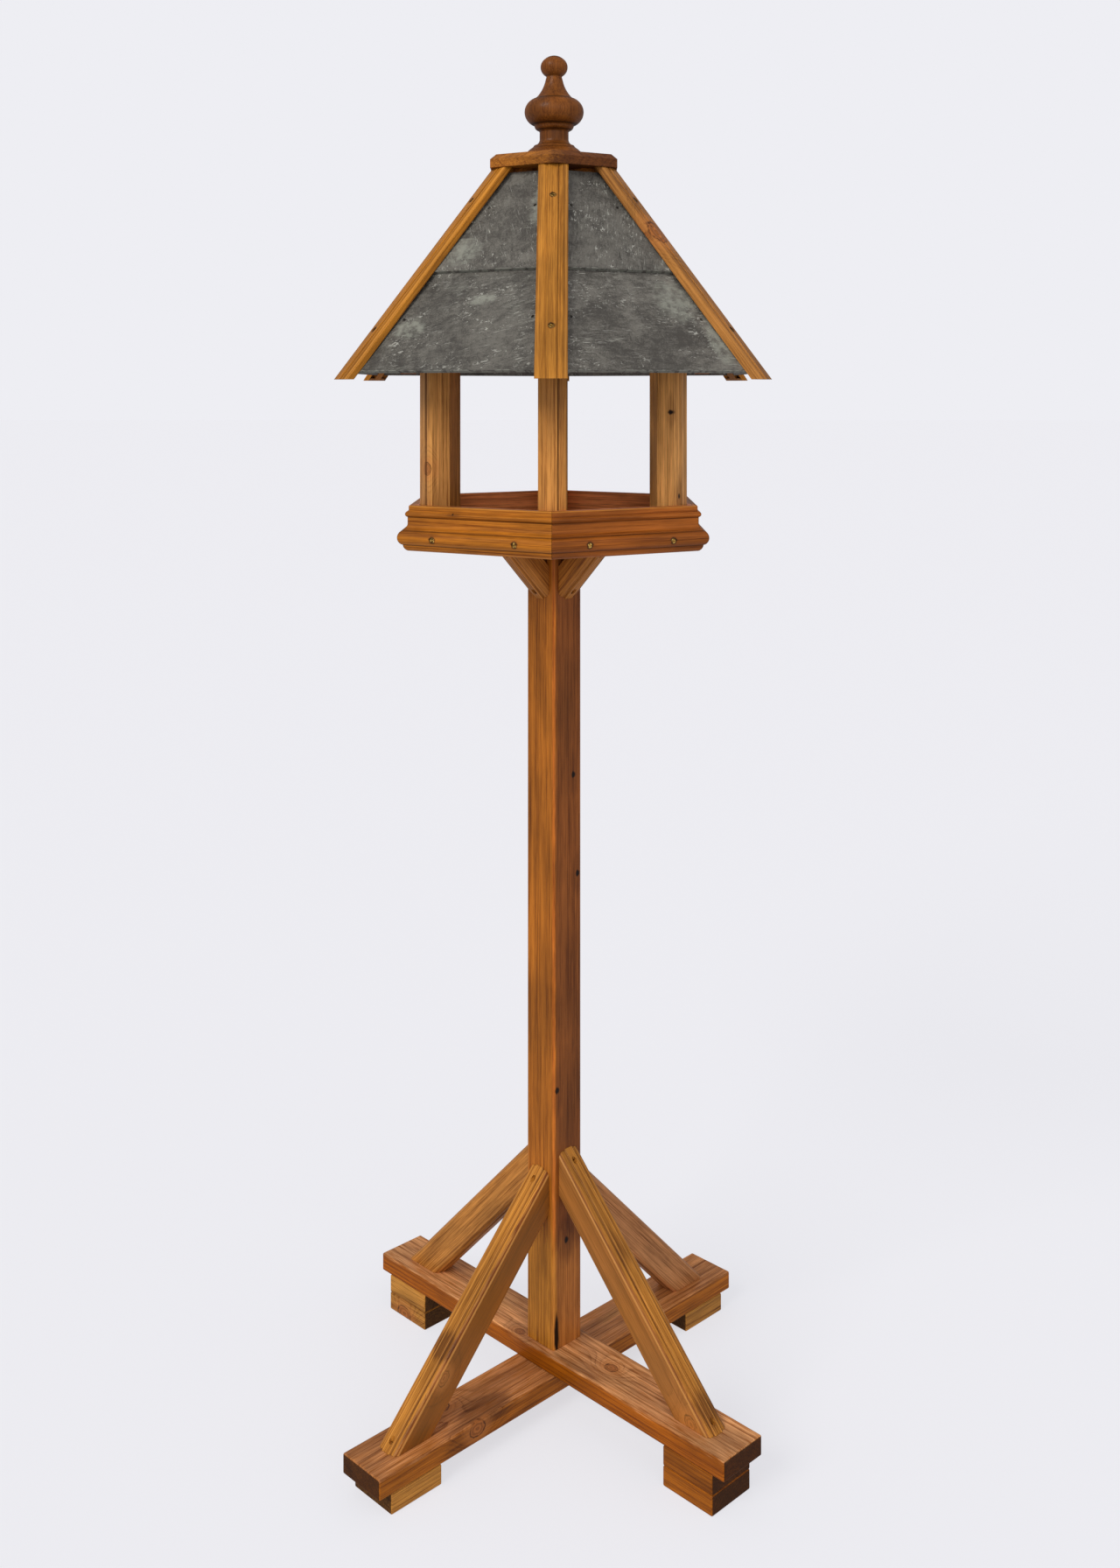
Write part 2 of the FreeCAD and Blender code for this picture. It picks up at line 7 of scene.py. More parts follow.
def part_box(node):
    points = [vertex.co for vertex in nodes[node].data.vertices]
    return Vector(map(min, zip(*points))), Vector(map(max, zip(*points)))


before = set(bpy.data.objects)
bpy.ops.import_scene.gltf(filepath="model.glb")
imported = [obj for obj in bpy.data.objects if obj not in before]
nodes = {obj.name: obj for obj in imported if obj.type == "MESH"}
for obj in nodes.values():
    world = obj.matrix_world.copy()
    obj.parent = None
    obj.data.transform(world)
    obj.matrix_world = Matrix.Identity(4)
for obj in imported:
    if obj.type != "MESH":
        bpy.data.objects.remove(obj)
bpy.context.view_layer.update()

# Azimuths of the radial pieces, in degrees, as the CAD places them.
CORNERS = {
    "front": -90,
    "front_right": -30,
    "back_right": 30,
    "back": 90,
    "back_left": 150,
    "front_left": 210,
}
SIDES = {
    "front_right": -60,
    "right": 0,
    "back_right": 60,
    "back_left": 120,
    "left": 180,
    "front_left": 240,
}
DIAGONALS = {"front_left": 225, "back_right": 45, "front_right": -45, "back_left": 135}

MM = 0.001
UP = Vector((0, 0, 1))
LEVEL = Vector((1, 0, 0))

# The slopes of the hips and of the roof's faces between them, and the radius and height of the
# battens' lower tips in millimetres.
HIP_SLOPE = math.radians(51.36)
ROOF_SLOPE = math.atan(math.tan(HIP_SLOPE) / math.cos(math.radians(30)))
HIP_TIP = (275.8, 1202.0)

# Directions in a piece's own frame, and the middle of a noise's range.
ACROSS = (0, 1, 0)
OUT = (0, 0, 1)
MIDDLE = (0.5, 0.5, 0.5)


def srgb(red, green, blue):
    """A colour given in everyday 0-255 numbers, as the shader's linear colour."""

    def linear(value):
        value /= 255
        return value / 12.92 if value <= 0.04045 else ((value + 0.055) / 1.055) ** 2.4

    return (linear(red), linear(green), linear(blue), 1.0)


# ---- node trees -------------------------------------------------------------
class Tree:
    """Short calls for building a node tree. A value is a number, a tuple or a socket."""

    def __init__(self, tree):
        self.tree = tree

    def link(self, value, socket):
        if isinstance(value, bpy.types.NodeSocket):
            self.tree.links.new(value, socket)
        else:
            socket.default_value = value

    def add(self, kind, inputs=None, **settings):
        node = self.tree.nodes.new("ShaderNode" + kind)
        for name, value in settings.items():
            setattr(node, name, value)
        for key, value in (inputs or {}).items():
            self.link(value, node.inputs[key])
        return node

    def math(self, operation, first, second=0.0, third=0.0, clamp=False):
        inputs = {0: first, 1: second, 2: third}
        return self.add("Math", inputs, operation=operation, use_clamp=clamp).outputs[0]

    def sway(self, value, strength, base):
        """base, moved up and down by the swing of a noise about its middle."""
        return self.math("MULTIPLY_ADD", self.math("SUBTRACT", value, 0.5), strength, base)

    def vector(self, operation, first, second=(0, 0, 0)):
        node = self.add("VectorMath", {0: first, 1: second}, operation=operation)
        return node.outputs["Value" if operation in ("DOT_PRODUCT", "LENGTH") else "Vector"]

    def noise(self, vector, scale, detail=2.0, roughness=0.5, distortion=0.0):
        """A noise's value, with its own scale along each axis."""
        return self.noise_node(vector, scale, detail, roughness, distortion).outputs["Fac"]

    def noise_node(self, vector, scale, detail=2.0, roughness=0.5, distortion=0.0):
        """The same noise as a node, for its colour output."""
        place = self.vector("MULTIPLY", vector, scale)
        values = {"Vector": place, "Scale": 1.0, "Detail": detail}
        values.update({"Roughness": roughness, "Distortion": distortion})
        return self.add("TexNoise", values)

    def smooth(self, value, low, high, start=0.0, end=1.0):
        """A smooth step of value from low to high, giving start to end."""
        inputs = {"Value": value, "From Min": low, "From Max": high}
        inputs.update({"To Min": start, "To Max": end})
        return self.add("MapRange", inputs, interpolation_type="SMOOTHSTEP").outputs["Result"]

    def ramp(self, value, stops):
        """A curve through (position, level) stops."""
        node = self.add("ValToRGB", {"Fac": value})
        points = node.color_ramp.elements
        while len(points) < len(stops):
            points.new(0.5)
        for point, (position, level) in zip(points, stops):
            point.position = position
            point.color = (level, level, level, 1.0)
        return node.outputs["Color"]

    def mix(self, factor, first, second, blend="MIX"):
        """A colour mix."""
        node = self.add("Mix", data_type="RGBA", blend_type=blend)
        self.link(factor, node.inputs["Factor"])
        self.link(first, node.inputs[6])
        self.link(second, node.inputs[7])
        return node.outputs[2]

    def split(self, vector):
        return self.add("SeparateXYZ", {0: vector}).outputs

    def join(self, x, y, z):
        return self.add("CombineXYZ", {0: x, 1: y, 2: z}).outputs[0]


def group(name, inputs, outputs):
    """A new node group with named sockets; returns its tree and its input and output nodes."""
    tree = bpy.data.node_groups.new(name, "ShaderNodeTree")
    for socket, kind in inputs.items():
        tree.interface.new_socket(socket, in_out="INPUT", socket_type="NodeSocket" + kind)
    for socket, kind in outputs.items():
        tree.interface.new_socket(socket, in_out="OUTPUT", socket_type="NodeSocket" + kind)
    start = tree.nodes.new("NodeGroupInput")
    end = tree.nodes.new("NodeGroupOutput")
    return Tree(tree), start.outputs, end.inputs


def material(name):
    """A new material, its tree and the inputs of its Principled shader."""
    made = bpy.data.materials.new(name)
    made.use_nodes = True
    return made, Tree(made.node_tree), made.node_tree.nodes["Principled BSDF"].inputs


# ---- timber -----------------------------------------------------------------
def timber_group():
    """Stained softwood cut from a log: X runs along the grain, in millimetres."""
    inputs = {"Place": "Vector", "Pith": "Vector", "Ring": "Float", "Shift": "Float"}
    inputs.update({"Figure": "Float", "Wander": "Float", "Light": "Color", "Dark": "Color"})
    inputs["Seed"] = "Float"
    tree, given, result = group("timber", inputs, SURFACE)
    offset = tree.vector("SCALE", TIMBER_SEED_STEP)
    tree.link(given["Seed"], offset.node.inputs["Scale"])
    place = tree.vector("ADD", given["Place"], offset)
    wander = tree.noise_node(place, (0.0018, 0.008, 0.008), 2.0, 0.5).outputs["Color"]
    wander = tree.vector("SUBTRACT", wander, MIDDLE)
    wander = tree.vector("SCALE", tree.vector("MULTIPLY", wander, (0, 1, 1)))
    tree.link(given["Wander"], wander.node.inputs["Scale"])
    ripple = tree.noise_node(place, (0.008, 0.06, 0.06), 2.0, 0.5).outputs["Color"]
    ripple = tree.vector("MULTIPLY", tree.vector("SUBTRACT", ripple, MIDDLE), (0, 2.5, 2.5))
    from_pith = tree.vector("SUBTRACT", given["Place"], given["Pith"])
    from_pith = tree.vector("MULTIPLY", from_pith, (0, 1, 1))
    from_pith = tree.vector("ADD", from_pith, tree.vector("ADD", wander, ripple))
    radius = tree.math("ADD", tree.vector("LENGTH", from_pith), given["Shift"])
    rings = tree.math("DIVIDE", radius, given["Ring"])
    values = {"W": rings, "Scale": 0.37, "Detail": 1.0}
    uneven = tree.add("TexNoise", values, noise_dimensions="1D").outputs["Fac"]
    rings = tree.math("MULTIPLY_ADD", uneven, 1.6, rings)
    stops = [(0.0, 0.12), (0.4, 0.0), (0.72, 0.35), (0.9, 1.0), (0.97, 0.6), (1.0, 0.12)]
    late = tree.ramp(tree.math("FRACT", rings), stops)
    strength = tree.smooth(uneven, 0.3, 0.7, 0.35, 1.0)
    late = tree.math("MULTIPLY", late, strength)
    fibre = tree.noise(place, (0.012, 0.75, 0.75), 3.0, 0.65)
    pores = tree.noise(place, (0.06, 2.2, 2.2), 2.0, 0.6)
    streak = tree.noise(place, (0.002, 0.14, 0.14), 2.0, 0.5)
    blotch = tree.noise(place, (0.008, 0.022, 0.022), 3.0, 0.55)
    depth = tree.math("MULTIPLY", late, given["Figure"])
    depth = tree.sway(fibre, 2.3, depth)
    depth = tree.sway(pores, 1.0, depth)
    depth = tree.sway(streak, 1.15, depth)
    depth = tree.math("ADD", depth, 0.30, clamp=True)
    colour = tree.mix(depth, given["Light"], given["Dark"])
    shade = tree.smooth(blotch, 0.25, 0.75, 0.70, 1.26)
    colour = tree.mix(1.0, colour, tree.join(shade, shade, shade), "MULTIPLY")
    tree.link(colour, result["Color"])
    rough = tree.math("MULTIPLY_ADD", fibre, 0.25, 0.33)
    tree.link(tree.math("MULTIPLY_ADD", blotch, 0.1, rough), result["Roughness"])
    height = tree.math("MULTIPLY_ADD", late, -0.35, tree.math("MULTIPLY", fibre, 0.8))
    tree.link(height, result["Height"])
    return tree.tree


def knot_group():
    """A branch that crosses the board, with the grain bent round it."""
    inputs = {"Place": "Vector", "Centre": "Vector", "Axis": "Vector"}
    inputs.update({"Size": "Float", "Depth": "Float"})
    outputs = ("Shift", "Face", "Rim", "Rings", "Halo")
    tree, given, result = group("knot", inputs, dict.fromkeys(outputs, "Float"))
    away = tree.vector("SUBTRACT", given["Place"], given["Centre"])
    along = tree.vector("DOT_PRODUCT", away, given["Axis"])
    back = tree.vector("SCALE", given["Axis"])
    tree.link(along, back.node.inputs["Scale"])
    flat = tree.vector("MULTIPLY", tree.vector("SUBTRACT", away, back), (0.72, 1, 1))
    ragged = tree.noise(away, (0.22, 0.22, 0.22), 3.0, 0.6)
    distance = tree.math("DIVIDE", tree.vector("LENGTH", flat), given["Size"])
    distance = tree.math("ADD", distance, tree.math("MULTIPLY_ADD", ragged, 0.5, -0.25))
    shallow = tree.math("DIVIDE", tree.math("ABSOLUTE", along), given["Depth"])
    near = tree.smooth(shallow, 1.0, 1.5, 1.0, 0.0)
    bend = tree.math("MULTIPLY", tree.math("POWER", distance, 2.0), -0.16)
    bend = tree.math("EXPONENT", bend)
    bend = tree.math("MULTIPLY", tree.math("MULTIPLY", bend, given["Size"]), 3.4)
    tree.link(tree.math("MULTIPLY", bend, near), result["Shift"])
    face = tree.math("MULTIPLY", tree.smooth(distance, 0.92, 1.08, 1.0, 0.0), near)
    tree.link(face, result["Face"])
    stops = [(0.42, 0.0), (0.5, 1.0), (0.58, 0.0)]
    rim = tree.ramp(tree.math("MULTIPLY", distance, 0.5), stops)
    broken = tree.smooth(tree.noise(away, (0.12, 0.12, 0.12), 1.0, 0.5), 0.34, 0.56, 0.35, 1.0)
    tree.link(tree.math("MULTIPLY", tree.math("MULTIPLY", rim, near), broken), result["Rim"])
    waves = tree.math("SINE", tree.math("MULTIPLY", distance, 12.0))
    tree.link(tree.math("MULTIPLY_ADD", waves, 0.5, 0.5), result["Rings"])
    halo = tree.smooth(distance, 1.0, 2.6, 1.0, 0.0)
    tree.link(tree.math("MULTIPLY", halo, near), result["Halo"])
    return tree.tree


def stain_group():
    """A soft ragged patch, for darker or lighter stain and for painted light and shade."""
    inputs = {"Place": "Vector", "Centre": "Vector", "Reach": "Vector"}
    tree, given, result = group("stain", inputs, {"Mask": "Float"})
    away = tree.vector("SUBTRACT", given["Place"], given["Centre"])
    ragged = tree.noise(away, (0.03, 0.3, 0.3), 3.0, 0.6)
    distance = tree.vector("LENGTH", tree.vector("DIVIDE", away, given["Reach"]))
    distance = tree.math("ADD", distance, tree.math("MULTIPLY_ADD", ragged, 1.0, -0.5))
    tree.link(tree.smooth(distance, 0.55, 1.05, 1.0, 0.0), result["Mask"])
    return tree.tree


# What a group for a material gives back, and how far a seed of 1 moves a material's noise.
SURFACE = {"Color": "Color", "Roughness": "Float", "Height": "Float"}
TIMBER_SEED_STEP = (137.0, 71.0, 53.0)
SLATE_SEED_STEP = (91.0, 173.0, 39.0)

TIMBER = timber_group()
KNOT = knot_group()
STAIN = stain_group()

KNOT_FACE = srgb(176, 104, 50)
KNOT_RING = srgb(92, 46, 18)
KNOT_RIM = srgb(44, 20, 8)
KNOT_HALO = srgb(196, 122, 62)
# Painted shade for the dark lines in the mouldings' grooves.
GROOVE_SHADE = srgb(58, 30, 10)
# Painted highlight for the bright lines along lands and arrises.
ARRIS_HIGHLIGHT = srgb(226, 160, 78)
END_GRAIN = srgb(92, 58, 20)
END_SHADE = (0.30, 0.28, 0.24, 1.0)
SHADOW_STAIN = srgb(84, 42, 14)
# Painted sheen, a pale gloss on a top face.
PAINTED_SHEEN = srgb(216, 158, 92)
# Painted shade in the countersinks round sunk screw heads.
SCREW_HOLE_SHADE = srgb(40, 20, 8)
CRACK = srgb(26, 13, 5)

# The softened arrises' radius in metres.
ARRIS_RADIUS = 0.0011

# Early and late wood, as shares of the wood's mean colour.
LIGHT_SHARE = (1.41, 1.47, 1.55, 1.0)
DARK_SHARE = (0.43, 0.33, 0.22, 1.0)


def scaled(colour, share):
    """A colour with each channel multiplied by its share, up to full."""
    return tuple(min(value * part, 1.0) for value, part in zip(colour, share))


def place_in(tree, origin, along, out):
    """Millimetres from origin, with X along the grain and Z out of the main face."""
    across = out.cross(along)
    turn = Matrix((along, across, out)).transposed().to_euler()
    place = tree.add("TexCoord").outputs["Object"]
    inputs = {"Vector": place, "Location": origin, "Rotation": turn, "Scale": (MM, MM, MM)}
    return tree.add("Mapping", inputs, vector_type="TEXTURE").outputs["Vector"]


def band(tree, value, centre, half):
    """1 where value is at centre, falling smoothly to 0 at half to each side."""
    gap = tree.math("ABSOLUTE", tree.math("SUBTRACT", value, centre))
    return tree.smooth(gap, half * 0.35, half, 1.0, 0.0)


def use_group(tree, node_tree, values):
    """A group node with its inputs filled in."""
    node = tree.add("Group", node_tree=node_tree)
    for socket, value in values.items():
        tree.link(value, node.inputs[socket])
    return node.outputs


def timber_material(
    name, frame_of, kind, seed, knots=(), shade_and_highlight_lines=(), stains_and_painted_light=(), face_above=None
):
    """Stained wood for one piece, in the piece's own frame of origin, grain and main face.

    The kind is what look() gives. A knot is its centre, its direction, its size and how deep it
    goes; a painted line is its place across the face, its half width, how strong it is and its
    colour, painted shade in a groove or a painted highlight along a land or an arris; a stain is
    its centre, its reach, its colour and how strong it is, and some stains are painted light or
    shade. The painted lines lie only where the face stands above face_above.
    """
    made, tree, shader = material(name)
    origin, along, out = frame_of
    place = place_in(tree, origin, along, out)
    shift = 0.0
    faces = []
    for centre, axis, size, deep in knots:
        values = {"Place": place, "Centre": centre, "Axis": axis, "Size": size, "Depth": deep}
        knot = use_group(tree, KNOT, values)
        shift = tree.math("ADD", shift, knot["Shift"])
        faces.append(knot)
    values = {"Place": place, "Shift": shift, "Seed": seed}
    values.update(kind)
    # Stains, and patches of painted light and shade, mixed into the wood's colours.
    for centre, reach, tone, strength in stains_and_painted_light:
        mask = use_group(tree, STAIN, {"Place": place, "Centre": centre, "Reach": reach})["Mask"]
        factor = tree.math("MULTIPLY", mask, strength)
        values["Light"] = tree.mix(factor, values["Light"], scaled(tone, LIGHT_SHARE))
        values["Dark"] = tree.mix(factor, values["Dark"], scaled(tone, DARK_SHARE))
    wood = use_group(tree, TIMBER, values)
    colour = wood["Color"]
    for knot in faces:
        colour = tree.mix(tree.math("MULTIPLY", knot["Halo"], 0.45), colour, KNOT_HALO)
        face = tree.mix(tree.math("MULTIPLY", knot["Rings"], 0.85), KNOT_FACE, KNOT_RING)
        colour = tree.mix(tree.math("MULTIPLY", knot["Face"], 0.62), colour, face)
        colour = tree.mix(tree.math("MULTIPLY", knot["Rim"], 0.9), colour, KNOT_RIM)
    axes = tree.split(place)
    # Painted shade lines in grooves and painted highlight lines on lands and arrises.
    for centre, half, strength, tone in shade_and_highlight_lines:
        painted_line = tree.math("MULTIPLY", band(tree, axes["Y"], centre, half), strength)
        if face_above is not None:
            raised = tree.smooth(axes["Z"], face_above - 1, face_above)
            painted_line = tree.math("MULTIPLY", painted_line, raised)
        colour = tree.mix(painted_line, colour, tone)
    normal = tree.add("NewGeometry").outputs["Normal"]
    facing = tree.math("ABSOLUTE", tree.vector("DOT_PRODUCT", normal, along))
    end = tree.smooth(facing, 0.75, 0.95)
    speck = tree.noise(place, (0.9, 0.9, 0.9), 3.0, 0.6)
    ends = tree.mix(tree.smooth(speck, 0.3, 0.7, 0.25, 0.75), colour, END_GRAIN)
    ends = tree.mix(1.0, ends, END_SHADE, "MULTIPLY")
    colour = tree.mix(end, colour, ends)
    tree.link(colour, shader["Base Color"])
    tree.link(tree.math("MULTIPLY_ADD", end, 0.25, wood["Roughness"]), shader["Roughness"])
    eased = tree.add("Bevel", {"Radius": ARRIS_RADIUS}, samples=4).outputs["Normal"]
    values = {"Strength": 0.45, "Distance": 0.0005, "Height": wood["Height"], "Normal": eased}
    bump = tree.add("Bump", values)
    tree.link(bump.outputs["Normal"], shader["Normal"])
    shader["Specular IOR Level"].default_value = 0.12
    shader["Coat Weight"].default_value = 0.1
    shader["Coat Roughness"].default_value = 0.2
    return made


def dress(node, made):
    """Gives a CAD node one material."""
    mesh = nodes[node].data
    mesh.materials.clear()
    mesh.materials.append(made)


def middle(node):
    low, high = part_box(node)
    return (low + high) / 2


def radial(azimuth):
    angle = math.radians(azimuth)
    return Vector((math.cos(angle), math.sin(angle), 0))


def look(red, green, blue, figure=0.4, ring=4.6, pith=(0, 14, -46), wander=10.0):
    """Stain of a mean colour, and how the board was cut from its log."""
    mean = srgb(red, green, blue)
    made = {"Light": scaled(mean, LIGHT_SHARE), "Dark": scaled(mean, DARK_SHARE)}
    made.update({"Figure": figure, "Ring": ring, "Pith": pith, "Wander": wander})
    return made


# Places in the tables below are millimetres from a piece's middle: along its grain, across it
# and out of its main face.
BASE = {
    "lower_beam": look(153, 86, 17, 0.5, 4.6, (0, 30, -60)),
    "upper_beam": look(144, 75, 5, 0.5, 4.6, (0, 30, -60)),
    "foot_block": look(172, 116, 48, 0.6, 4.4, (0, 20, -30)),
    "foot_block_front_right": look(142, 78, 10, 0.5, 4.4, (0, 20, -30)),
    "spacer_block_front_right": look(142, 78, 10, 0.5, 4.4, (0, -34, -30)),
    "spacer_block": look(176, 120, 50, 0.6, 4.4, (0, -34, -30)),
    "strut": look(172, 112, 42, 0.45, 4.2, (0, 34, -20)),
    "strut_back_left": look(176, 116, 52, 0.28, 4.2, (0, 34, -20)),
    "strut_back_right": look(170, 114, 68, 0.28, 4.2, (0, 34, -20)),
    "brace": look(172, 108, 44, 0.5, 4.2, (0, 34, -20)),
}
BEAM_KNOTS = {
    "lower_beam": [((-162, 16, 11), OUT, 7.0, 6), ((-150, -32, 4), ACROSS, 8.0, 4)],
    "upper_beam": [((-92, -2, 11), OUT, 6.0, 6), ((34, 24, 11), OUT, 5.0, 6)],
}
BEAM_STAINS_AND_SHEEN = {
    "lower_beam": [
        # Painted sheen along the top; the pale patch further on is painted sheen too.
        ((0, 0, 17), (2000, 200, 9), srgb(196, 134, 84), 0.75),
        ((-128, -18, 11), (46, 22, 20), SHADOW_STAIN, 0.6),
        ((-176, -26, 0), (30, 9, 20), SHADOW_STAIN, 0.5),
        ((110, 6, 16), (50, 10, 9), PAINTED_SHEEN, 0.4),
    ],
    "upper_beam": [
        # Painted sheen along the top; the pale patch further on is painted sheen too.
        ((0, 0, 17), (2000, 200, 9), srgb(218, 158, 104), 0.75),
        ((30, 22, 11), (34, 18, 16), SHADOW_STAIN, 0.3),
        ((-70, 26, 6), (50, 5, 16), SHADOW_STAIN, 0.5),
        ((120, 0, 16), (60, 14, 9), PAINTED_SHEEN, 0.5),
    ],
}
BLOCK_KNOTS = {"foot_block_back_left": [((6, 32, -6), ACROSS, 9.0, 4)]}


def dead_knot(centre, size):
    """A small black knot and the darker grain above and below it, as two stains."""
    grain = (centre, (size * 7, size * 1.9, 7), SHADOW_STAIN, 0.35)
    return [grain, (centre, (size, size * 0.8, 6), CRACK, 1.0)]


def dress_base():
    for name, azimuth in (("lower_beam", 45), ("upper_beam", 135)):
        frame_of = (middle(name), radial(azimuth), UP)
        knots = BEAM_KNOTS[name]
        stains_and_painted_light = BEAM_STAINS_AND_SHEEN[name]
        made = timber_material(name, frame_of, BASE[name], azimuth / 10, knots, (), stains_and_painted_light)
        dress(name, made)
    for corner, azimuth in DIAGONALS.items():
        for layer in ("foot_block", "spacer_block"):
            name = layer + "_" + corner
            if name not in nodes:
                continue
            frame_of = (middle(name), radial(azimuth), UP)
            stain = BASE.get(name, BASE[layer])
            seed = azimuth / 7 + len(layer)
            dress(name, timber_material(name, frame_of, stain, seed, BLOCK_KNOTS.get(name, ())))


STRUT_KNOTS = {
    "front_left": [((-76, -16, -8), ACROSS, 6.0, 5)],
    "front_right": [((-143, 16, -14), ACROSS, 7.0, 5), ((61, 3, 20), OUT, 2.2, 8)],
}
STRUT_STAINS_AND_PAINTED_LIGHT = {
    "front_left": [
        # Painted shade darkens the front-left strut's side face.
        ((0, -17, 0), (2000, 6, 400), srgb(102, 46, 2), 0.95),
        ((-50, -2, 6), (20, 24, 34), SHADOW_STAIN, 0.65),
        # A painted highlight near the land.
        ((-66, 6, 16), (6, 13, 10), ARRIS_HIGHLIGHT, 0.5),
    ],
    "front_right": [
        # Painted shade darkens the front-right strut's side face.
        ((0, 17, 0), (2000, 6, 400), srgb(126, 72, 32), 0.9),
        ((-140, -2, 12), (24, 26, 24), SHADOW_STAIN, 0.6),
        ((40, 0, 12), (30, 20, 16), SHADOW_STAIN, 0.5),
        ((-78, 2, 18), (34, 12, 14), srgb(214, 156, 72), 0.7),
        ((76, 2, 18), (16, 8, 14), srgb(214, 156, 78), 0.5),
        ((-20, 6, 18), (36, 5, 14), srgb(206, 146, 66), 0.45),
        ((-112, -8, 18), (26, 6, 14), srgb(206, 146, 66), 0.45),
        ((-60, -9, 14), (60, 4, 20), SHADOW_STAIN, 0.45),
        ((-94, 4, 18), (40, 1.6, 14), SHADOW_STAIN, 0.7),
        ((-70, 0, 18), (30, 1.2, 14), SHADOW_STAIN, 0.6),
    ],
}
# Painted highlight lines along the outer arrises and along the lands' edges.
EDGE_HIGHLIGHTS = ((-14.6, 0.9, 0.45, ARRIS_HIGHLIGHT), (14.6, 0.9, 0.45, ARRIS_HIGHLIGHT))
LAND_HIGHLIGHTS = ((-4.9, 0.7, 0.4, ARRIS_HIGHLIGHT), (4.9, 0.7, 0.4, ARRIS_HIGHLIGHT))
# Painted shade in both grooves, with the lands' painted highlights.
BOTH_SHADE_AND_HIGHLIGHT = ((-6.6, 0.9, 0.4, GROOVE_SHADE), (6.6, 0.9, 0.4, GROOVE_SHADE)) + LAND_HIGHLIGHTS
# Painted shade in the grooves, stronger on one side, and painted highlights, for each strut.
STRUT_SHADE_AND_HIGHLIGHT = {
    "front_left": ((-6.8, 0.9, 0.5, GROOVE_SHADE), (6.8, 0.7, 0.12, GROOVE_SHADE)) + LAND_HIGHLIGHTS + EDGE_HIGHLIGHTS,
    "front_right": ((-6.8, 0.9, 0.4, GROOVE_SHADE), (6.8, 0.9, 0.5, GROOVE_SHADE)) + LAND_HIGHLIGHTS + EDGE_HIGHLIGHTS,
}


def dress_struts():
    for corner, azimuth in DIAGONALS.items():
        outward = radial(azimuth)
        name = "strut_" + corner
        frame_of = (middle(name), (UP - outward).normalized(), (UP + outward).normalized())
        knots = STRUT_KNOTS.get(corner, ())
        shade_and_highlight_lines = STRUT_SHADE_AND_HIGHLIGHT.get(corner, BOTH_SHADE_AND_HIGHLIGHT)
        stains_and_painted_light = STRUT_STAINS_AND_PAINTED_LIGHT.get(corner, ())
        stain = BASE.get(name, BASE["strut"])
        made = timber_material(name, frame_of, stain, azimuth / 9, knots, shade_and_highlight_lines, stains_and_painted_light)
        dress(name, made)
        name = "brace_" + corner
        frame_of = (middle(name), (UP + outward).normalized(), (outward - UP).normalized())
        made = timber_material(name, frame_of, BASE["brace"], azimuth / 5, (), BOTH_SHADE_AND_HIGHLIGHT, (), 0)
        dress(name, made)


POLE = look(155, 90, 25, 0.3, 4.6, (0, 16, -20), 6.0)
POLE_FACE = 23.5
POLE_STAINS_AND_PAINTED_LIGHT = [
    # Painted shade darkens the pole's front-right face.
    ((0, -2, 25), (1500, 34, 9), srgb(104, 54, 30), 0.6),
    ((0, 23, 23), (1500, 3.0, 3.0), srgb(206, 112, 38), 0.55),
    ((-350, 4, 24), (34, 16, 9), SHADOW_STAIN, 0.5),
    # Painted light lightens the pole's foot on both front faces, where shade from the struts
    # falls.
    ((-420, POLE_FACE, 0), (110, 7, 60), srgb(200, 134, 46), 0.6),
    ((-424, 0, POLE_FACE), (90, 60, 7), srgb(188, 120, 54), 0.45),
]
POLE_KNOTS = ((196, -9), (78, -16), (-170, 17.6), (-350, 2.6))
POLE_CRACK = ((-456, 18.5, POLE_FACE), (30, 3.6, 6), CRACK, 1.0)


def dress_pole():
    """The pole's main face looks front right; the arris between its front faces is worn."""
    frame_of = (middle("pole"), UP, radial(-45))
    stains_and_painted_light = list(POLE_STAINS_AND_PAINTED_LIGHT)
    for along, across in POLE_KNOTS:
        stains_and_painted_light += dead_knot((along, across, POLE_FACE), 4.8)
    stains_and_painted_light.append(POLE_CRACK)
    dress("pole", timber_material("pole", frame_of, POLE, 3.0, (), (), stains_and_painted_light))


TRAY = {
    "floor": look(150, 90, 36, 0.4, 6.0),
    "left": look(175, 104, 27, 0.5, 6.4, (0, -40, -22), 9.0),
    "right": look(151, 82, 25, 0.25, 6.0, (0, 30, -30), 9.0),
}
# Painted shade in the rim's grooves and a painted highlight near its top arris.
RIM_SHADE_AND_HIGHLIGHT = (
    (12.4, 1.0, 0.55, GROOVE_SHADE),
    (-2.6, 1.1, 0.45, GROOVE_SHADE),
    (-18.6, 1.0, 0.5, GROOVE_SHADE),
    (24.8, 0.9, 0.35, ARRIS_HIGHLIGHT),
)
# Painted light: the rim boards' inner faces made paler against the shade inside the tray.
RIM_INNER_PAINTED_LIGHT = ((0, 0, -12), (400, 60, 6), srgb(222, 136, 84), 0.8)
RIM_SCREWS = ((-54, -11.4, 12), (54, -11.4, 12))
RIM_KNOTS = {"front_left": dead_knot((-32, 18, 4), 1.8)}


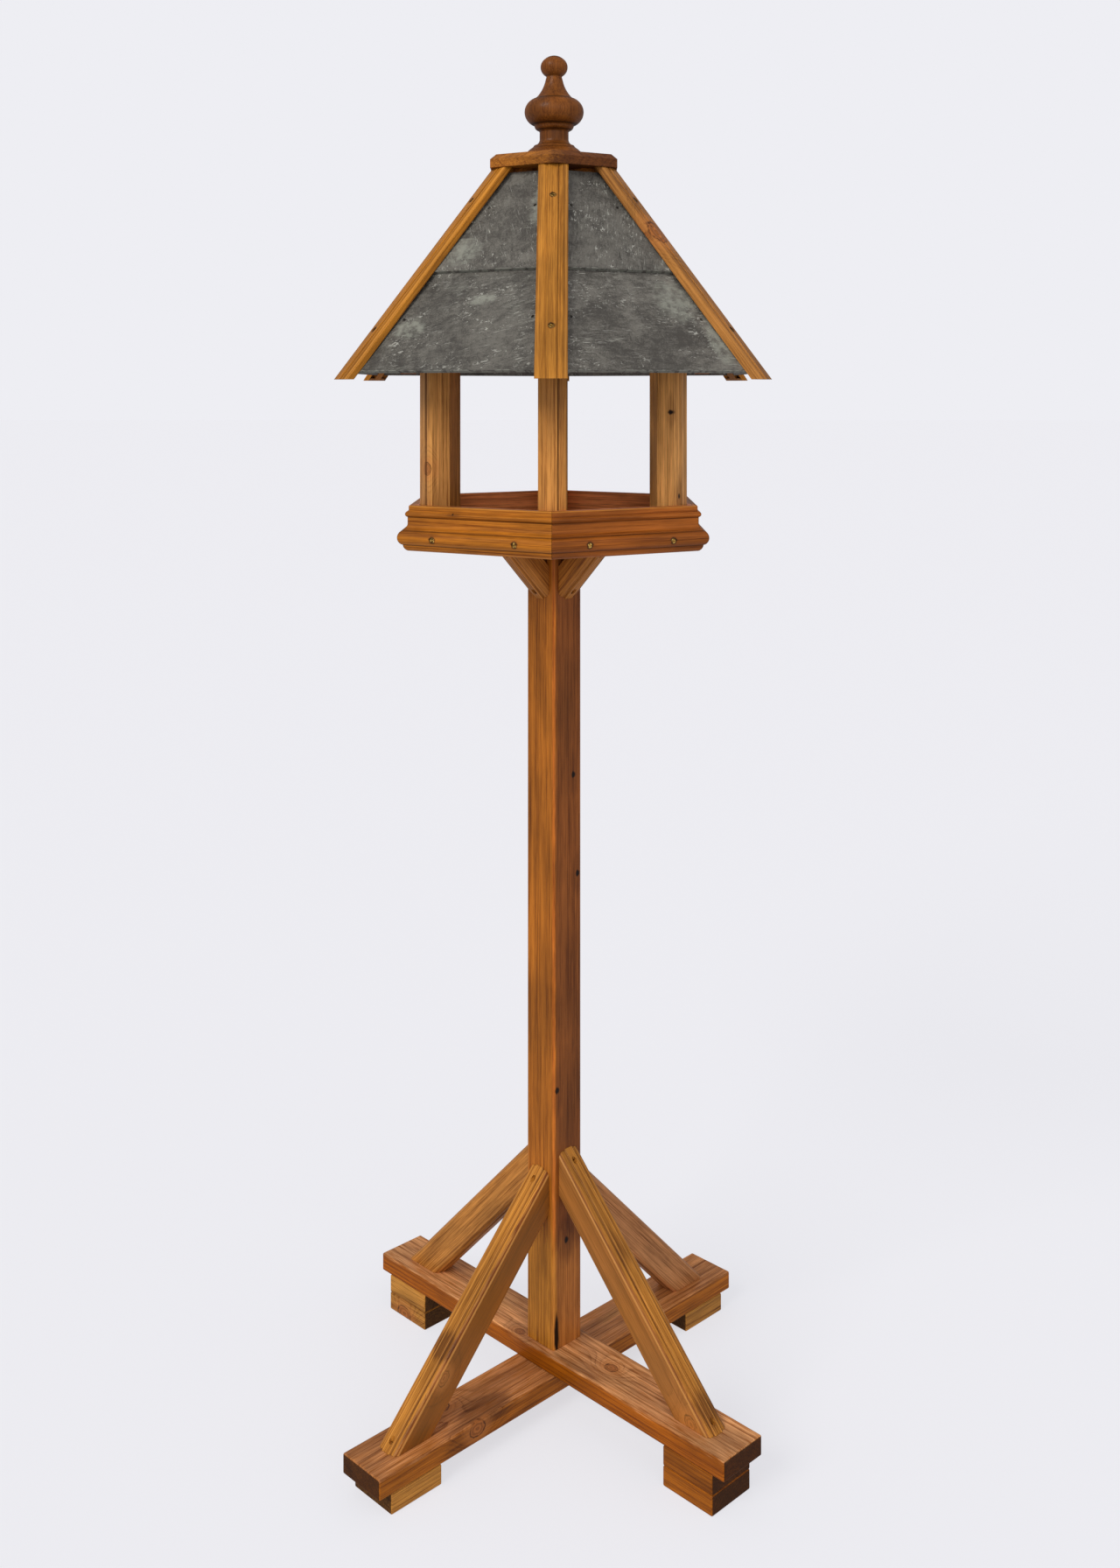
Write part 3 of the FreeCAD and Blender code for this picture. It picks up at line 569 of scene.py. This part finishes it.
def dress_tray():
    frame_of = (middle("tray_floor"), LEVEL, UP)
    dress("tray_floor", timber_material("tray_floor", frame_of, TRAY["floor"], 8.0))
    low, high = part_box("rim_board_right")
    depth = (low.x + high.x) / 2
    height = UP * (low.z + high.z) / 2
    for side, azimuth in SIDES.items():
        name = "rim_board_" + side
        outward = radial(azimuth)
        frame_of = (outward * depth + height, UP.cross(outward), outward)
        stain = TRAY["right" if side == "front_right" else "left"]
        stains_and_painted_light = [RIM_INNER_PAINTED_LIGHT]
        # Painted shade round the rim's screw heads.
        stains_and_painted_light += [(place, (5.2, 5.0, 8), SCREW_HOLE_SHADE, 0.85) for place in RIM_SCREWS]
        stains_and_painted_light += RIM_KNOTS.get(side, [])
        made = timber_material(name, frame_of, stain, azimuth / 11, (), RIM_SHADE_AND_HIGHLIGHT, stains_and_painted_light, -4)
        dress(name, made)


HEAD = {
    "post": look(180, 120, 56, 0.35, 3.6, (0, 12, -40), 6.0),
    # The front-left, back-right and front-right posts are lighter copies of the post's wood:
    # painted light against the shade under the roof.
    "post_front_left": look(188, 130, 68, 0.35, 3.6, (0, 12, -40), 6.0),
    "post_back_right": look(240, 160, 88, 0.35, 3.6, (0, 12, -40), 6.0),
    "post_front_right": look(200, 142, 78, 0.35, 3.6, (0, 12, -40), 6.0),
    "batten": look(160, 101, 26, 0.35, 4.4, (0, 20, -60), 8.0),
    "batten_front": look(168, 110, 39, 0.35, 4.4, (0, 20, -60), 8.0),
    "batten_front_right": look(156, 103, 47, 0.4, 4.4, (0, 20, -60), 8.0),
    "inside": look(150, 90, 36, 0.4),
    "cap": look(150, 91, 28, 0.4, 5.0, (0, 30, -40)),
    "finial": look(108, 60, 18, 0.15, 3.4, (0, 9, -12), 4.0),
}
POST_KNOTS = {"front_left": [((-62, -9, 12), OUT, 5.5, 8)]}
POST_STAINS = {"front_right": dead_knot((2, 14.5, 6), 3.6) + dead_knot((-93, 9, 12), 4.0)}
# Painted shade in the posts' grooves, stronger on one side, and painted highlights on a land and
# an arris.
FACE_SHADE_AND_HIGHLIGHT = (
    (-6.4, 1.1, 0.7, GROOVE_SHADE),
    (6.4, 0.9, 0.15, GROOVE_SHADE),
    (-4.9, 0.7, 0.3, ARRIS_HIGHLIGHT),
    (-15.0, 0.9, 0.3, ARRIS_HIGHLIGHT),
)
# Painted shade in the battens' grooves and a painted highlight along an arris.
BATTEN_SHADE_AND_HIGHLIGHT = (
    (-6.4, 0.8, 0.25, GROOVE_SHADE),
    (-12.6, 0.9, 0.4, GROOVE_SHADE),
    (6.4, 0.8, 0.12, GROOVE_SHADE),
    (-15.0, 0.9, 0.35, ARRIS_HIGHLIGHT),
)
BATTEN_KNOTS = {"front_right": [((52, 6, 5), OUT, 11.0, 14)]}
BATTEN_CRACKS = {
    "front_right": [((at, 5, 5), (2.6, 14, 16), srgb(64, 30, 12), 0.85) for at in (66, 40)],
}

# How far up the slope from the batten's lower tip its two screws are, in millimetres.
BATTEN_SCREWS = (72, 266)
CAP_STAIN = ((50, -60, 0), (70, 70, 60), SHADOW_STAIN, 0.85)


def batten_screw_shade(frame_of, outward):
    """Painted shade round the batten's sunk screw heads, in the batten's own frame."""
    screw_shades = []
    for up_slope in BATTEN_SCREWS:
        rise = up_slope * math.sin(HIP_SLOPE)
        reach = HIP_TIP[0] - up_slope * math.cos(HIP_SLOPE)
        point = (outward * reach + UP * (HIP_TIP[1] + rise)) * MM
        away = (point - frame_of[0]) / MM
        place = (away.dot(frame_of[1]), 0, away.dot(frame_of[2]))
        screw_shades.append((place, (5.2, 4.8, 6), SCREW_HOLE_SHADE, 0.85))
    return screw_shades


def dress_head():
    for corner, azimuth in CORNERS.items():
        outward = radial(azimuth)
        name = "post_" + corner
        frame_of = (middle(name), UP, outward)
        stain = HEAD.get(name, HEAD["post"])
        knots = POST_KNOTS.get(corner, ())
        stains_and_painted_light = POST_STAINS.get(corner, ())
        made = timber_material(name, frame_of, stain, azimuth / 13, knots, FACE_SHADE_AND_HIGHLIGHT, stains_and_painted_light, 6)
        dress(name, made)
        name = "hip_batten_" + corner
        along = (UP * math.sin(HIP_SLOPE) - outward * math.cos(HIP_SLOPE)).normalized()
        out = (outward * math.sin(HIP_SLOPE) + UP * math.cos(HIP_SLOPE)).normalized()
        frame_of = (middle(name), along, out)
        stain = HEAD.get("batten_" + corner, HEAD["batten"])
        seed = azimuth / 17
        knots = BATTEN_KNOTS.get(corner, ())
        stains_and_painted_light = batten_screw_shade(frame_of, outward) + BATTEN_CRACKS.get(corner, [])
        made = timber_material(name, frame_of, stain, seed, knots, BATTEN_SHADE_AND_HIGHLIGHT, stains_and_painted_light, 0)
        dress(name, made)
    for name, seed in (("rafters", 21.0), ("rafter_hub", 22.0)):
        frame_of = (middle(name), LEVEL, UP)
        dress(name, timber_material(name, frame_of, HEAD["inside"], seed))
    frame_of = (middle("roof_cap"), LEVEL, UP)
    made = timber_material("roof_cap", frame_of, HEAD["cap"], 23.0, (), (), [CAP_STAIN])
    dress("roof_cap", made)
    frame_of = (middle("finial"), UP, Vector((0, -1, 0)))
    dress("finial", timber_material("finial", frame_of, HEAD["finial"], 24.0))


# ---- slate ------------------------------------------------------------------
SLATE_LIGHT = srgb(117, 114, 106)
SLATE_DARK = srgb(70, 67, 62)
SLATE_PALE = srgb(148, 150, 138)
SLATE_SCUFF = srgb(186, 186, 176)

# How far the riven streaks lean from straight up the slope, in degrees, on alternate sides.
SLATE_LEANS = {"lower_slate_": (75, 90), "upper_slate_": (-30, 24)}
SLATE_PATCHES = {
    "lower_slate_front_right": [((58, 98, 0), (30, 34, 30)), ((94, 44, 0), (15, 40, 30))],
    "upper_slate_front_left": [((38, 110, 0), (16, 50, 30)), ((-40, 30, 0), (26, 22, 30))],
    "lower_slate_front_left": [((-70, 60, 0), (22, 16, 30)), ((10, 100, 0), (20, 8, 30))],
}
SLATE_SHARE = {
    "lower_slate_front_left": 0.88,
    "upper_slate_front_right": 0.88,
    "lower_slate_front_right": 1.08,
}


def slate_group():
    """Riven slate: X runs across the roof face and Y up it from the tail, in millimetres."""
    inputs = {"Place": "Vector", "Seed": "Float", "Light": "Color", "Dark": "Color"}
    inputs["Lean"] = "Float"
    tree, given, result = group("slate", inputs, SURFACE)
    offset = tree.vector("SCALE", SLATE_SEED_STEP)
    tree.link(given["Seed"], offset.node.inputs["Scale"])
    place = tree.vector("ADD", given["Place"], offset)
    values = {"Vector": place, "Angle": given["Lean"]}
    lean = tree.add("VectorRotate", values, rotation_type="Z_AXIS").outputs["Vector"]
    cloud = tree.noise(place, (0.016, 0.016, 0.016), 4.0, 0.62, 0.5)
    grain = tree.noise(lean, (0.30, 0.06, 0.1), 5.0, 0.70, 0.5)
    fine = tree.noise(place, (0.6, 0.6, 0.6), 4.0, 0.7)
    mottle = tree.noise(place, (0.09, 0.09, 0.09), 5.0, 0.75, 0.8)
    tone = tree.sway(grain, 0.55, cloud)
    tone = tree.sway(mottle, 0.8, tone)
    tone = tree.sway(fine, 0.8, tone)
    colour = tree.mix(tree.smooth(tone, 0.24, 0.76), given["Dark"], given["Light"])
    patch = tree.noise(lean, (0.030, 0.014, 0.05), 4.0, 0.6, 1.0)
    pale = tree.math("MULTIPLY", tree.smooth(patch, 0.56, 0.76), tree.smooth(grain, 0.40, 0.66))
    colour = tree.mix(tree.math("MULTIPLY", pale, 0.42), colour, SLATE_PALE)
    scratch = tree.noise(lean, (1.0, 0.06, 0.2), 2.0, 0.5)
    crossed = tree.smooth(patch, 0.46, 0.60)
    scratch = tree.math("MULTIPLY", tree.smooth(scratch, 0.62, 0.72), crossed)
    colour = tree.mix(tree.math("MULTIPLY", scratch, 0.75), colour, SLATE_SCUFF)
    crowd = tree.noise(place, (0.03, 0.03, 0.03), 2.0, 0.5)
    scuff = tree.noise(lean, (0.30, 0.14, 0.2), 4.0, 0.6, 1.2)
    scuff = tree.math("MULTIPLY", tree.smooth(scuff, 0.59, 0.64), tree.smooth(crowd, 0.42, 0.60))
    colour = tree.mix(tree.math("MULTIPLY", scuff, 0.7), colour, SLATE_SCUFF)
    ragged = tree.noise(place, (0.12, 0.12, 0.12), 3.0, 0.6)
    up = tree.sway(ragged, -9.0, tree.split(given["Place"])["Y"])
    # A ragged band along the tail, sunk a little in the bump and darkened as painted shade.
    chipped_tail_shade = tree.math("MULTIPLY", tree.smooth(up, 6.0, 1.5, 0.0, 1.0), 0.55)
    colour = tree.mix(chipped_tail_shade, colour, given["Dark"])
    lip = band(tree, up, 1.2, 1.6)
    colour = tree.mix(tree.math("MULTIPLY", lip, 0.5), colour, SLATE_PALE)
    tree.link(colour, result["Color"])
    tree.link(tree.math("MULTIPLY_ADD", fine, 0.3, 0.5), result["Roughness"])
    height = tree.math("MULTIPLY_ADD", grain, 0.8, tree.math("MULTIPLY", fine, 0.3))
    height = tree.math("MULTIPLY_ADD", cloud, 1.2, height)
    height = tree.math("MULTIPLY_ADD", chipped_tail_shade, -0.6, height)
    tree.link(height, result["Height"])
    return tree.tree


SLATE = slate_group()


def slate_material(name, frame_of, seed, light, dark, lean, patches):
    """Slate for one plate; a patch is the centre and the reach of a paler riven layer."""
    made, tree, shader = material(name)
    place = place_in(tree, *frame_of)
    values = {"Place": place, "Seed": seed, "Light": light, "Dark": dark}
    values["Lean"] = math.radians(lean)
    stone = use_group(tree, SLATE, values)
    colour = stone["Color"]
    for centre, reach in patches:
        bare = use_group(tree, STAIN, {"Place": place, "Centre": centre, "Reach": reach})["Mask"]
        uneven = tree.noise(place, (0.10, 0.10, 0.10), 4.0, 0.65)
        uneven = tree.smooth(uneven, 0.38, 0.60, 0.15, 0.75)
        colour = tree.mix(tree.math("MULTIPLY", bare, uneven), colour, SLATE_PALE)
    tree.link(colour, shader["Base Color"])
    tree.link(stone["Roughness"], shader["Roughness"])
    bump = tree.add("Bump", {"Strength": 0.8, "Distance": 0.0016, "Height": stone["Height"]})
    tree.link(bump.outputs["Normal"], shader["Normal"])
    shader["Specular IOR Level"].default_value = 0.35
    return made


def dress_slates():
    for turn, (side, azimuth) in enumerate(SIDES.items()):
        for layer, leans in SLATE_LEANS.items():
            name = layer + side
            lean = leans[(turn + 1) % 2]
            low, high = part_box(layer + "right")
            tail = radial(azimuth) * high.x + UP * low.z
            out = radial(azimuth) * math.sin(ROOF_SLOPE) + UP * math.cos(ROOF_SLOPE)
            frame_of = (tail, radial(azimuth + 90), out)
            seed = azimuth / 23 + len(layer) + lean / 10
            patches = SLATE_PATCHES.get(name, ())
            share = [SLATE_SHARE.get(name, 1.0)] * 3 + [1.0]
            light = scaled(SLATE_LIGHT, share)
            dark = scaled(SLATE_DARK, share)
            made = slate_material(name, frame_of, seed, light, dark, lean, patches)
            dress(name, made)


# ---- screws -----------------------------------------------------------------
BRASS = srgb(250, 206, 110)
TARNISH = srgb(96, 62, 22)


def dress_screws():
    made, tree, shader = material("brass_screw")
    place = tree.add("TexCoord").outputs["Object"]
    tarnish = tree.noise(place, (420.0, 420.0, 420.0), 3.0, 0.6)
    colour = tree.mix(tree.smooth(tarnish, 0.42, 0.58), BRASS, TARNISH)
    tree.link(colour, shader["Base Color"])
    tree.link(tree.smooth(tarnish, 0.3, 0.7, 0.25, 0.5), shader["Roughness"])
    bump = tree.add("Bump", {"Strength": 0.2, "Distance": 0.0001, "Height": tarnish})
    tree.link(bump.outputs["Normal"], shader["Normal"])
    shader["Metallic"].default_value = 0.8
    for name in nodes:
        if "screw" in name:
            dress(name, made)


# ---- studio -----------------------------------------------------------------
FLOOR_SIZE = 120
FLOOR_TONE = (0.26, 0.26, 0.27, 1.0)
GLOW_TONE = (1.0, 1.0, 1.05, 1.0)
BACKDROP = srgb(238, 238, 243)

# How bright the floor and the backdrop are, first as lights and then as the camera sees them.
FLOOR_GLOW = (0.28, 0.635)
BACKDROP_GLOW = (0.50, 1.0)

# Each light's name, direction, strength, colour and spread in degrees.
SUNS = (
    ("key", (-0.52, -0.62, 0.58), 1.6, (1.0, 0.97, 0.92), 30),
    ("fill", (0.7, -0.5, 0.5), 0.3, (1.0, 0.97, 0.97), 60),
    ("front", (0.15, -1.0, 0.10), 0.7, (1.0, 0.97, 0.95), 60),
)
LENS = 36.955
SENSOR = 36.0
LENS_SHIFT = -0.2518
CAMERA_TURN = math.radians(0.5)
CAMERA_STAND = Vector((0.007, -1.9148, 1.1912))


def floor():
    """A plain pale floor that mostly glows, so that it meets the backdrop with no line."""
    bpy.ops.mesh.primitive_plane_add(size=FLOOR_SIZE)
    plane = bpy.context.object
    plane.name = "studio_floor"
    made, tree, shader = material("studio_floor")
    shader["Base Color"].default_value = FLOOR_TONE
    shader["Roughness"].default_value = 1.0
    shader["Specular IOR Level"].default_value = 0.0
    shader["Emission Color"].default_value = GLOW_TONE
    camera_ray = tree.add("LightPath").outputs["Is Camera Ray"]
    tree.link(tree.smooth(camera_ray, 0.0, 1.0, *FLOOR_GLOW), shader["Emission Strength"])
    plane.data.materials.append(made)


def sun(name, direction, strength, colour, spread):
    """A soft light that shines the same everywhere, from a direction."""
    lamp = bpy.data.lights.new(name, "SUN")
    lamp.energy = strength
    lamp.color = colour
    lamp.angle = math.radians(spread)
    holder = bpy.data.objects.new(name, lamp)
    holder.rotation_euler = Vector(direction).to_track_quat("Z", "Y").to_euler()
    bpy.context.scene.collection.objects.link(holder)


def backdrop():
    world = bpy.data.worlds.new("studio")
    world.use_nodes = True
    tree = Tree(world.node_tree)
    shade = world.node_tree.nodes["Background"]
    shade.inputs["Color"].default_value = BACKDROP
    camera_ray = tree.add("LightPath").outputs["Is Camera Ray"]
    tree.link(tree.smooth(camera_ray, 0.0, 1.0, *BACKDROP_GLOW), shade.inputs["Strength"])
    bpy.context.scene.world = world


def camera():
    """Level camera, its frame shifted down, half a degree round from the front."""
    lens = bpy.data.cameras.new("camera")
    lens.lens = LENS
    lens.sensor_width = SENSOR
    lens.shift_y = LENS_SHIFT
    holder = bpy.data.objects.new("camera", lens)
    holder.location = Matrix.Rotation(CAMERA_TURN, 3, "Z") @ CAMERA_STAND
    holder.rotation_euler = (math.radians(90), 0, CAMERA_TURN)
    bpy.context.scene.collection.objects.link(holder)
    bpy.context.scene.camera = holder


dress_base()
dress_struts()
dress_pole()
dress_tray()
dress_head()
dress_slates()
dress_screws()
floor()
backdrop()
for light in SUNS:
    sun(*light)
camera()
bpy.context.scene.view_settings.view_transform = "Standard"
